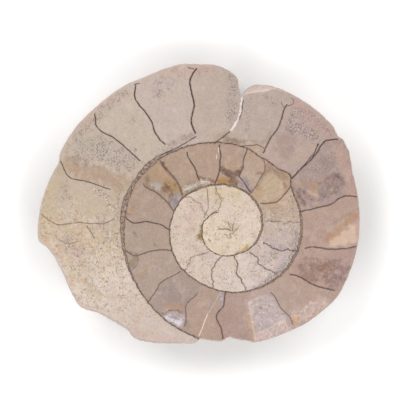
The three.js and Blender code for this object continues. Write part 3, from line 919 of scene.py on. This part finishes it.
MERGE_DISTANCE = 1e-6  # points of the face closer than this are one, mm
POLISHED, NATURAL = 0, 1  # material slots


def in_frame(points, depth):
    """Points of the fossil, in mm about the coil's axis and below the face, as metres in the shared frame."""
    place = np.column_stack([points, THICKNESS - depth]) + np.array(CENTRE)
    return np.clip(place * MM, np.array(CAD_BOX[0]), np.array(CAD_BOX[1]))


def bridges_a_hollow(triangle, column_of):
    """True if a triangle is outside the rim: its corners are all on the rim, in the wrong order round it."""
    columns = [column_of.get(point) for point in triangle]
    if None in columns:
        return False
    first = columns.index(min(columns))
    return columns[(first + 1) % 3] > columns[(first + 2) % 3]


def polished_face(lines, rim):
    """The points of the polished face, which of them are the rim's, and the triangles between them."""
    columns = len(rim)
    flat = [Vector(p) for p in np.vstack([rim, section_points(lines, rim)])]
    rim_edges = [(i, (i + 1) % columns) for i in range(columns)]
    found = delaunay_2d_cdt(flat, rim_edges, [], 0, MERGE_DISTANCE, True)
    points, _, triangles, sources = found[:4]
    rim_point = {old: new for new, olds in enumerate(sources) for old in olds if old < columns}
    rim_ring = [rim_point[i] for i in range(columns)]
    column_of = {point: column for column, point in enumerate(rim_ring)}
    kept = [list(triangle) for triangle in triangles if not bridges_a_hollow(triangle, column_of)]
    return np.array([tuple(p) for p in points]), rim_ring, kept


def underside(direction, edge, bevel):
    """The points below the bevel as (column, ring), and the values that their material is painted by."""
    profiles = back_profiles(direction, edge)
    radius, depth = profiles[..., 0], profiles[..., 1]
    points = np.dstack([polar(direction[:, None], radius), -depth[..., None]])
    relief, values = back_relief(points, radius, depth, direction)
    points = points - grid_normals(points) * relief[..., None]
    points[:, 0, 2] = -BEVEL_DROP * bevel
    return points, values


def wrap(rings, centre):
    """Faces between the rings and on to the point at the centre, and each corner's place when unwrapped."""
    columns = len(rings[0])
    across = np.arange(columns + 1) / columns
    up = np.linspace(BACK_UV_LOW, 1 - UV_MARGIN, len(rings) + 1)
    faces = []
    corner_uv = []
    for k in range(len(rings) - 1):
        for j in range(columns):
            after = (j + 1) % columns
            faces.append([rings[k][j], rings[k + 1][j], rings[k + 1][after], rings[k][after]])
            left, right = across[j], across[j + 1]
            corner_uv += [(left, up[k]), (left, up[k + 1]), (right, up[k + 1]), (right, up[k])]
    for j in range(columns):
        faces.append([rings[-1][j], centre, rings[-1][(j + 1) % columns]])
        middle = (across[j] + across[j + 1]) / 2
        corner_uv += [(across[j], up[-2]), (middle, up[-1]), (across[j + 1], up[-2])]
    return faces, corner_uv


def store(mesh, name, kind, field, value):
    values = np.asarray(value, np.float32).ravel()
    mesh.attributes.new(name, kind, "POINT").data.foreach_set(field, values)


def build_fossil():
    direction = column_directions()
    edge = edge_radius(direction)
    bevel = bevel_width(direction)
    columns = len(direction)

    lines = section_lines()
    face_points, rim_ring, triangles = polished_face(lines, polar(direction, edge - bevel))
    section = describe_section(face_points, lines)
    face = in_frame(face_points, section_depth(face_points, section))
    middle_of_bevel = in_frame(polar(direction, edge - MIDDLE_INWARDS * bevel), MIDDLE_DROP * bevel)
    below, flank = underside(direction, edge, bevel)
    rings_below = [in_frame(ring[:, :2], -ring[:, 2]) for ring in below.transpose(1, 0, 2)]
    centre = in_frame(np.zeros((1, 2)), -below[:, -1, 2].mean(keepdims=True))
    vertices = np.vstack([face, middle_of_bevel, *rings_below, centre])

    count = len(face)
    rings = [rim_ring]
    for start in range(count, len(vertices) - 1, columns):
        rings.append(list(range(start, start + columns)))
    faces, corner_uv = wrap(rings, len(vertices) - 1)
    face_uv = (face - face.min(axis=0))[:, :2] * FACE_UV_SCALE + UV_MARGIN
    corner_uv = [tuple(face_uv[point]) for triangle in triangles for point in triangle] + corner_uv

    mesh = bpy.data.meshes.new(PIECE)
    mesh.from_pydata(vertices.tolist(), [], triangles + faces)
    mesh.uv_layers.new(name="OFBake").data.foreach_set("uv", np.array(corner_uv).ravel())
    slots = [POLISHED] * len(triangles) + [NATURAL] * len(faces)
    mesh.polygons.foreach_set("material_index", slots)
    mesh.polygons.foreach_set("use_smooth", [True] * len(slots))

    behind = len(vertices) - count
    for name, value in section.items():
        if value.ndim == 2:
            value = np.column_stack([value, np.ones(count)])
            rest = np.tile(value[rim_ring].mean(axis=0), (behind, 1))
            store(mesh, name, "FLOAT_COLOR", "color", np.vstack([value, rest]))
        else:
            store(mesh, name, "FLOAT", "value", np.r_[value, np.full(behind, FAR)])
    for name, value in flank.items():
        at_rim = 1 if name == "bevel_highlight" else 0
        value = np.r_[np.full(count + columns, at_rim), value.T.ravel(), value[:, -1].mean()]
        store(mesh, name, "FLOAT", "value", value)
    mesh.validate()
    fossil = bpy.data.objects.new(PIECE, mesh)
    bpy.context.scene.collection.objects.link(fossil)
    return fossil


# ---- materials ----


class Painter:
    """Builds one material's nodes. Sizes are in mm, and every pattern is fixed to the object."""

    def __init__(self, name):
        self.material = bpy.data.materials.new(name)
        self.material.use_nodes = True
        self.nodes = self.material.node_tree.nodes
        self.links = self.material.node_tree.links
        self.shader = self.nodes["Principled BSDF"]
        self.place = self.nodes.new("ShaderNodeTexCoord").outputs["Object"]

    def connect(self, value, socket):
        if isinstance(value, bpy.types.NodeSocket):
            self.links.new(value, socket)
        else:
            socket.default_value = value

    def attribute(self, name, output="Fac"):
        node = self.nodes.new("ShaderNodeAttribute")
        node.attribute_name = name
        return node.outputs[output]

    def math(self, operation, first, second=0.0, third=0.0):
        node = self.nodes.new("ShaderNodeMath")
        node.operation = operation
        for value, socket in zip((first, second, third), node.inputs):
            self.connect(value, socket)
        return node.outputs[0]

    def product(self, *values):
        return reduce(lambda first, second: self.math("MULTIPLY", first, second), values)

    def most(self, *values):
        return reduce(lambda first, second: self.math("MAXIMUM", first, second), values)

    def total(self, *values):
        return reduce(lambda first, second: self.math("ADD", first, second), values)

    def without(self, value):
        return self.math("SUBTRACT", 1.0, value)

    def step(self, value, low, high):
        """0 below low and 1 above high, smoothly. With high below low it falls instead."""
        node = self.nodes.new("ShaderNodeMapRange")
        node.interpolation_type = "SMOOTHSTEP"
        rises = high > low
        for socket, number in zip(node.inputs[1:5], (low, high, 0, 1) if rises else (high, low, 1, 0)):
            socket.default_value = number
        self.connect(value, node.inputs[0])
        return node.outputs[0]

    def span(self, value, low, high):
        """A 0 to 1 value stretched to run from low to high."""
        return self.math("MULTIPLY_ADD", value, high - low, low)

    def noise(self, size, detail=2.0, roughness=0.5, distortion=0.0, shift=0.0):
        node = self.nodes.new("ShaderNodeTexNoise")
        node.noise_dimensions = "4D"
        self.links.new(self.place, node.inputs["Vector"])
        node.inputs["W"].default_value = shift
        node.inputs["Scale"].default_value = 1 / (size * MM)
        node.inputs["Detail"].default_value = detail
        node.inputs["Roughness"].default_value = roughness
        node.inputs["Distortion"].default_value = distortion
        return node.outputs["Fac"]

    def spots(self, low, high, size, *look, shift):
        """Spots where the noise is above high, with soft edges down to low. The rest is as for noise."""
        return self.step(self.noise(size, *look, shift=shift), low, high)

    def band(self, value, middle, outer, inner):
        """A line where the value is near the middle: 1 closer than inner, and 0 further away than outer."""
        return self.step(self.math("ABSOLUTE", self.math("SUBTRACT", value, middle)), outer, inner)

    def waver(self, value, amount, size, *look, shift):
        """A value that noise moves up and down by an amount."""
        return self.total(value, self.span(self.noise(size, *look, shift=shift), -amount, amount))

    def cells(self, size):
        node = self.nodes.new("ShaderNodeTexVoronoi")
        self.links.new(self.place, node.inputs["Vector"])
        node.inputs["Scale"].default_value = 1 / (size * MM)
        return node.outputs["Distance"]

    def mix(self, factor, first, second, blend="MIX"):
        node = self.nodes.new("ShaderNodeMix")
        node.data_type = "RGBA"
        node.blend_type = blend
        for value, socket in zip((factor, first, second), (node.inputs[0], node.inputs[6], node.inputs[7])):
            self.connect(value, socket)
        return node.outputs[2]

    def paint(self, colour, factor, over):
        """Lays an sRGB colour over a linear one."""
        return self.mix(factor, over, rgba(colour))

    def vary(self, colour, pattern, low, high):
        """Multiplies a colour by a pattern that runs from low to high."""
        grey = self.nodes.new("ShaderNodeCombineColor")
        value = self.span(pattern, low, high)
        for socket in grey.inputs:
            self.links.new(value, socket)
        return self.mix(1.0, colour, grey.outputs[0], "MULTIPLY")

    def finish(self, colour, roughness, height, height_mm):
        bump = self.nodes.new("ShaderNodeBump")
        bump.inputs["Distance"].default_value = height_mm * MM
        bump.inputs["Strength"].default_value = 1.0
        self.links.new(height, bump.inputs["Height"])
        self.links.new(bump.outputs[0], self.shader.inputs["Normal"])
        self.links.new(colour, self.shader.inputs["Base Color"])
        self.links.new(roughness, self.shader.inputs["Roughness"])
        return self.material


def limestone(p, colour):
    """Clouding of the limestone, from broad to fine, strongest in the old living chamber."""
    colour = p.vary(colour, p.noise(9, 3, 0.6), 0.92, 1.08)
    colour = p.vary(colour, p.noise(2.2, 3, 0.65, shift=2), 0.88, 1.12)
    colour = p.vary(colour, p.noise(0.8, 2, 0.6, shift=4), 0.82, 1.18)
    clouded = p.most(p.attribute("old_chamber"), p.product(p.attribute("cream"), 0.6), 0.3)
    for tint, size, shift in [
        ((222, 194, 140), 3.2, 6), ((198, 154, 150), 2.8, 8), ((170, 162, 138), 3.0, 9),
        ((238, 222, 212), 3.6, 33),
    ]:
        stain = p.product(p.spots(0.5, 0.64, size, 4, 0.7, shift=shift), clouded, 0.46)
        colour = p.paint(tint, stain, colour)
    return colour


def grains(p, colour):
    """Grains and short hairlines, thickest in clusters, the old living chamber and the cream whorls."""
    clusters = p.attribute("grain_clusters")
    stone = p.without(p.attribute("crystals"))
    grainy = p.most(p.attribute("old_chamber"), p.product(p.attribute("cream"), 0.75))
    grainy = p.product(grainy, p.span(p.spots(0.38, 0.6, 5, 3, 0.6, shift=11), 0.25, 1.0))
    grainy = p.product(p.most(grainy, clusters, 0.18), stone)
    lumps = p.math("MULTIPLY_ADD", clusters, 0.05, p.noise(0.75, 3, 0.65, shift=10))
    dark = p.product(p.step(lumps, 0.54, 0.67), grainy)
    colour = p.paint((108, 88, 72), p.product(dark, p.most(clusters, 0.72)), colour)
    lumps = p.math("MULTIPLY_ADD", clusters, 0.05, p.noise(1.0, 3, 0.6, shift=12))
    pale = p.product(p.step(lumps, 0.53, 0.67), grainy)
    colour = p.paint((244, 232, 216), p.product(pale, 0.65), colour)
    hairlines = p.band(p.noise(2.6, 2, 0.6, 1.2, shift=13), 0.5, 0.035, 0.008)
    hairlines = p.product(hairlines, p.spots(0.5, 0.6, 1.5, 1, 0.5, shift=15), grainy)
    return p.paint((104, 82, 70), p.product(hairlines, 0.85), colour), dark


def calcite(p, colour):
    """Crystals: cloudy and lilac-grey, with pale strokes, painted glints that stand for light caught on their
    faces, and dark gaps between them.
    """
    crystals = p.attribute("crystals")
    colour = p.mix(crystals, colour, p.vary(colour, p.noise(2.2, 3, 0.65, 0.6, shift=17), 0.62, 1.36))
    colour = p.mix(crystals, colour, p.vary(colour, p.cells(1.5), 0.88, 1.18))
    lilac = p.product(p.spots(0.48, 0.64, 3.5, 3, 0.6, shift=19), crystals, 0.25)
    colour = p.paint((178, 162, 166), lilac, colour)
    strokes = p.band(p.noise(2.4, 2, 0.6, 1.6, shift=32), 0.5, 0.03, 0.008)
    strokes = p.product(strokes, p.spots(0.45, 0.6, 2.0, 1, 0.5, shift=34), crystals)
    # Painted glints: painted highlights, a lighter copy of the colour mixed in where crystal faces would
    # catch the light; the pale strokes take the same lighter copy.
    painted_glints = p.product(p.spots(0.57, 0.7, 1.0, 3, 0.6, 0.8, shift=14), crystals)
    pale_stroke_and_painted_glint_colour = p.mix(1.0, colour, (1.5, 1.47, 1.48, 1), "MULTIPLY")
    colour = p.mix(p.most(strokes, p.product(painted_glints, 0.8)), colour, pale_stroke_and_painted_glint_colour)
    gaps = p.product(p.spots(0.56, 0.7, 1.1, 3, 0.6, 0.8, shift=16), crystals, 0.6)
    return p.paint((116, 94, 94), gaps, colour)


def dendrites(p, colour):
    """Fine dark twigs and spots that grew in clumps, with paler stone between them."""
    grown = p.attribute("dendrites")
    clumps = p.span(p.spots(0.38, 0.58, 3.0, 2, 0.5, shift=20), 0.35, 1.0)
    twigs = p.product(p.band(p.noise(1.3, 3, 0.6, 0.8, shift=18), 0.5, 0.05, 0.01), clumps, grown)
    pale = p.product(p.spots(0.5, 0.62, 0.8, 2, 0.5, shift=25), clumps, grown)
    spots = p.product(p.spots(0.48, 0.62, 0.75, 2, 0.5, shift=21), clumps, grown)
    colour = p.paint((230, 214, 202), p.product(pale, 0.5), colour)
    colour = p.paint((108, 94, 102), p.product(twigs, 0.45), colour)
    return p.paint((106, 92, 100), p.product(spots, 0.72), colour)


def shell_wall(p, colour):
    """Brown between two dark, broken edges, and olive round the innermost whorls."""
    cream = p.attribute("cream")
    wall = p.waver(p.attribute("wall"), 0.45, 0.9, 3, 0.6, shift=22)
    beside = p.product(p.step(wall, 1.1, 0.2), p.without(cream), 0.25)
    colour = p.paint((160, 134, 116), beside, colour)
    mottle = p.spots(0.42, 0.6, 0.9, 3, 0.6, shift=23)
    inside = p.mix(mottle, rgba((118, 96, 90)), rgba((182, 158, 142)))
    olive = p.product(cream, p.spots(0.4, 0.55, 5, 2, 0.5, shift=29))
    inside = p.paint((156, 132, 88), olive, inside)
    colour = p.mix(p.product(p.step(wall, 0.1, -0.1), 0.9), colour, inside)
    edge = p.band(wall, -0.1, 0.26, 0.06)
    broken_line = p.span(p.spots(0.38, 0.58, 1.6, 3, 0.6, shift=24), 0.4, 1.0)
    return p.paint((74, 56, 56), p.product(edge, broken_line, 0.88), colour)


def septa(p, colour):
    """The septa and other fine dark lines, with a faint brown halo."""
    septum = p.waver(p.attribute("septum"), 0.16, 0.6, 2, 0.5, shift=26)
    uneven = p.span(p.spots(0.3, 0.5, 2, 2, 0.5, shift=27), 0.65, 1.0)
    strength = p.product(p.attribute("septum_strength"), uneven)
    colour = p.paint((150, 116, 98), p.product(p.step(septum, 0.55, 0.0), strength, 0.35), colour)
    return p.paint((50, 32, 34), p.product(p.step(septum, 0.14, -0.06), strength, 0.95), colour), septum


def seams_and_crack(p, colour):
    """Pale seams, and the crack with its lining of white calcite."""
    seam = p.product(p.step(p.attribute("seam"), 0.12, -0.1), p.attribute("seam_strength"))
    colour = p.paint((240, 218, 200), seam, colour)
    crack = p.waver(p.attribute("crack"), 0.95, 1.3, 3, 0.7, shift=31)
    colour = p.paint((206, 172, 164), p.product(p.step(crack, 0.5, 0.1), 0.7), colour)
    return p.paint((255, 248, 244), p.step(crack, 0.08, -0.08), colour)


def polished_section():
    p = Painter("polished_section")
    p.shader.inputs["IOR"].default_value = 1.5
    colour = limestone(p, p.attribute("fill", "Color"))
    colour, dark_grains = grains(p, colour)
    colour = dendrites(p, calcite(p, colour))
    colour, septum = septa(p, shell_wall(p, colour))
    colour = seams_and_crack(p, colour)
    roughness = p.total(
        p.span(p.noise(3, 3, 0.6, shift=28), 0.22, 0.4),
        p.product(p.step(septum, 0.1, -0.1), 0.2),
        p.product(p.attribute("crystals"), -0.08),
    )
    height = p.total(p.noise(0.5, 2, 0.5, shift=30), p.product(dark_grains, -0.8))
    return p.finish(colour, roughness, height, 0.02)


GROWTH_LINE_STEP = 0.9  # degrees along the coil
SHELL_PATCH = 11  # how large the scraps of shell are, mm


def natural_flank():
    """Weathered limestone in and over the ribs, with scraps of shell that carry fine growth lines."""
    p = Painter("natural_flank")
    p.shader.inputs["IOR"].default_value = 1.45
    worn, broken, bevel_highlight = p.attribute("worn"), p.attribute("broken"), p.attribute("bevel_highlight")
    hollow, sunk = p.attribute("hollow"), p.attribute("sunk")
    flank = p.without(p.most(worn, broken))
    colour = p.mix(p.step(p.noise(14, 4, 0.6), 0.4, 0.6), rgba((172, 146, 124)), rgba((200, 178, 158)))
    colour = p.paint((148, 112, 84), p.product(p.spots(0.53, 0.62, 5, 4, 0.7, shift=2), 0.6), colour)

    # Scraps of shell: paler, with edges that stand out and fine growth lines across them.
    shell_noise = p.noise(SHELL_PATCH, 4, 0.7, 0.4, shift=5)
    shell = p.product(p.step(shell_noise, 0.5, 0.53), flank)
    growth = p.waver(p.attribute("growth"), 1.2, 9, 2, 0.5, shift=9)
    lines = p.math("SINE", p.product(growth, 2 * math.pi / GROWTH_LINE_STEP))
    colour = p.paint((206, 184, 164), p.product(shell, 0.6), colour)
    shaded = p.product(p.step(lines, -0.2, 0.9), flank, p.span(shell, 0.15, 0.5))
    colour = p.paint((156, 128, 106), shaded, colour)
    rim = p.band(shell_noise, 0.5, 0.018, 0.004)
    colour = p.paint((120, 96, 80), p.product(rim, flank, 0.4), colour)

    # Painted shade in the rib hollows, where the flank is sunk deepest and in the pits; pale stone where it
    # wore or broke; and a painted highlight on the bevel and just under it.
    # Painted shade: darker in the rib hollows, broken up by noise.
    painted_hollow_shade = p.product(p.step(hollow, 0.55, 1.0), p.span(p.noise(3, 3, 0.6, shift=11), 0.2, 1.0))
    colour = p.paint((124, 100, 82), p.product(painted_hollow_shade, 0.6), colour)
    # Painted shade: darker where the flank is sunk deepest.
    colour = p.paint((104, 84, 70), p.product(p.step(sunk, 0.6, 1.15), 0.6), colour)
    rubbed = p.product(worn, p.span(p.noise(6, 3, 0.6, shift=4), 0.3, 1.0), 0.7)
    colour = p.paint((214, 196, 176), rubbed, colour)
    colour = p.paint((216, 196, 182), p.product(broken, 0.7), colour)
    # Painted highlight: paler on the bevel and just under it, where the ground edge catches the light.
    painted_bevel_highlight = p.step(p.waver(bevel_highlight, 0.7, 1.6, 3, 0.6, shift=13), 0.4, 0.7)
    colour = p.paint((222, 202, 194), p.product(painted_bevel_highlight, 0.8), colour)
    colour = p.vary(colour, p.noise(1.8, 3, 0.65, shift=6), 0.76, 1.24)
    colour = p.vary(colour, p.noise(0.7, 2, 0.6, shift=8), 0.74, 1.26)
    # Pits: bumped in, and darkened with painted shade.
    shaded_pits = p.product(p.spots(0.58, 0.68, 1.3, 2, 0.6, shift=10), p.without(painted_bevel_highlight))
    colour = p.paint((92, 74, 64), p.product(shaded_pits, 0.65), colour)

    roughness = p.total(p.span(p.noise(4, 3, 0.6, shift=12), 0.62, 0.88), p.product(shell, -0.2))
    height = p.total(
        p.noise(0.9, 4, 0.65, shift=14),
        p.product(p.noise(3.5, 3, 0.6, shift=16), 1.6),
        p.product(shell, 0.5),
        p.product(shell, lines, -0.06),
        p.product(shaded_pits, -1.0),
    )
    return p.finish(colour, roughness, height, 0.3)


# ---- the studio ----

VIEW_SPAN = 187.5  # how much of the polished face's level the picture shows, mm
VIEW_MIDDLE = (0.61, 1.63)  # what the camera looks straight down at, mm
LENS = 150  # mm, as is the sensor
SENSOR = 36

# In metres, with the lights as (direction, power).
FLOOR_SIZE = 30
LIGHTS = [(135, 11.2), (45, 8.9), (-45, 8.6), (-135, 8.9)]
LIGHT_SIZE = 0.9
LIGHT_DISTANCE = 1.1
LIGHT_HEIGHT = 1.05
SKY_STRENGTH = 0.29


def add_floor():
    mesh = bpy.data.meshes.new("floor")
    half = FLOOR_SIZE / 2
    corners = [(-half, -half, 0), (half, -half, 0), (half, half, 0), (-half, half, 0)]
    mesh.from_pydata(corners, [], [(0, 1, 2, 3)])
    material = bpy.data.materials.new("floor")
    material.use_nodes = True
    shader = material.node_tree.nodes["Principled BSDF"]
    shader.inputs["Base Color"].default_value = (0.93, 0.93, 0.93, 1)
    shader.inputs["Roughness"].default_value = 0.9
    shader.inputs["Specular IOR Level"].default_value = 0.0
    mesh.materials.append(material)
    floor = bpy.data.objects.new("floor", mesh)
    bpy.context.scene.collection.objects.link(floor)


def add_lights():
    """Four soft lights round a copy stand, the upper left one a little stronger, and an even sky."""
    for turn, power in LIGHTS:
        light = bpy.data.lights.new("soft_light", "AREA")
        light.shape = "SQUARE"
        light.size = LIGHT_SIZE
        light.energy = power
        lamp = bpy.data.objects.new("soft_light", light)
        angle = math.radians(turn)
        lamp.location = (LIGHT_DISTANCE * math.cos(angle), LIGHT_DISTANCE * math.sin(angle), LIGHT_HEIGHT)
        lamp.rotation_mode = "QUATERNION"
        lamp.rotation_quaternion = (-lamp.location).to_track_quat("-Z", "Y")
        bpy.context.scene.collection.objects.link(lamp)
    world = bpy.data.worlds.new("sky")
    world.use_nodes = True
    background = world.node_tree.nodes["Background"]
    background.inputs["Color"].default_value = (1, 1, 1, 1)
    background.inputs["Strength"].default_value = SKY_STRENGTH
    bpy.context.scene.world = world


def add_camera():
    camera = bpy.data.cameras.new("camera")
    camera.lens = LENS
    camera.sensor_width = SENSOR
    camera.clip_start = 0.05
    camera.clip_end = 20
    above = VIEW_SPAN * LENS / SENSOR
    holder = bpy.data.objects.new("camera", camera)
    holder.location = (VIEW_MIDDLE[0] * MM, VIEW_MIDDLE[1] * MM, (THICKNESS + above) * MM)
    bpy.context.scene.collection.objects.link(holder)
    bpy.context.scene.camera = holder


fossil = build_fossil()
fossil.data.materials.append(polished_section())
fossil.data.materials.append(natural_flank())
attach(fossil, "root")
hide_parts("ammonite")
add_floor()
add_lights()
add_camera()
bpy.context.scene.view_settings.view_transform = "Standard"
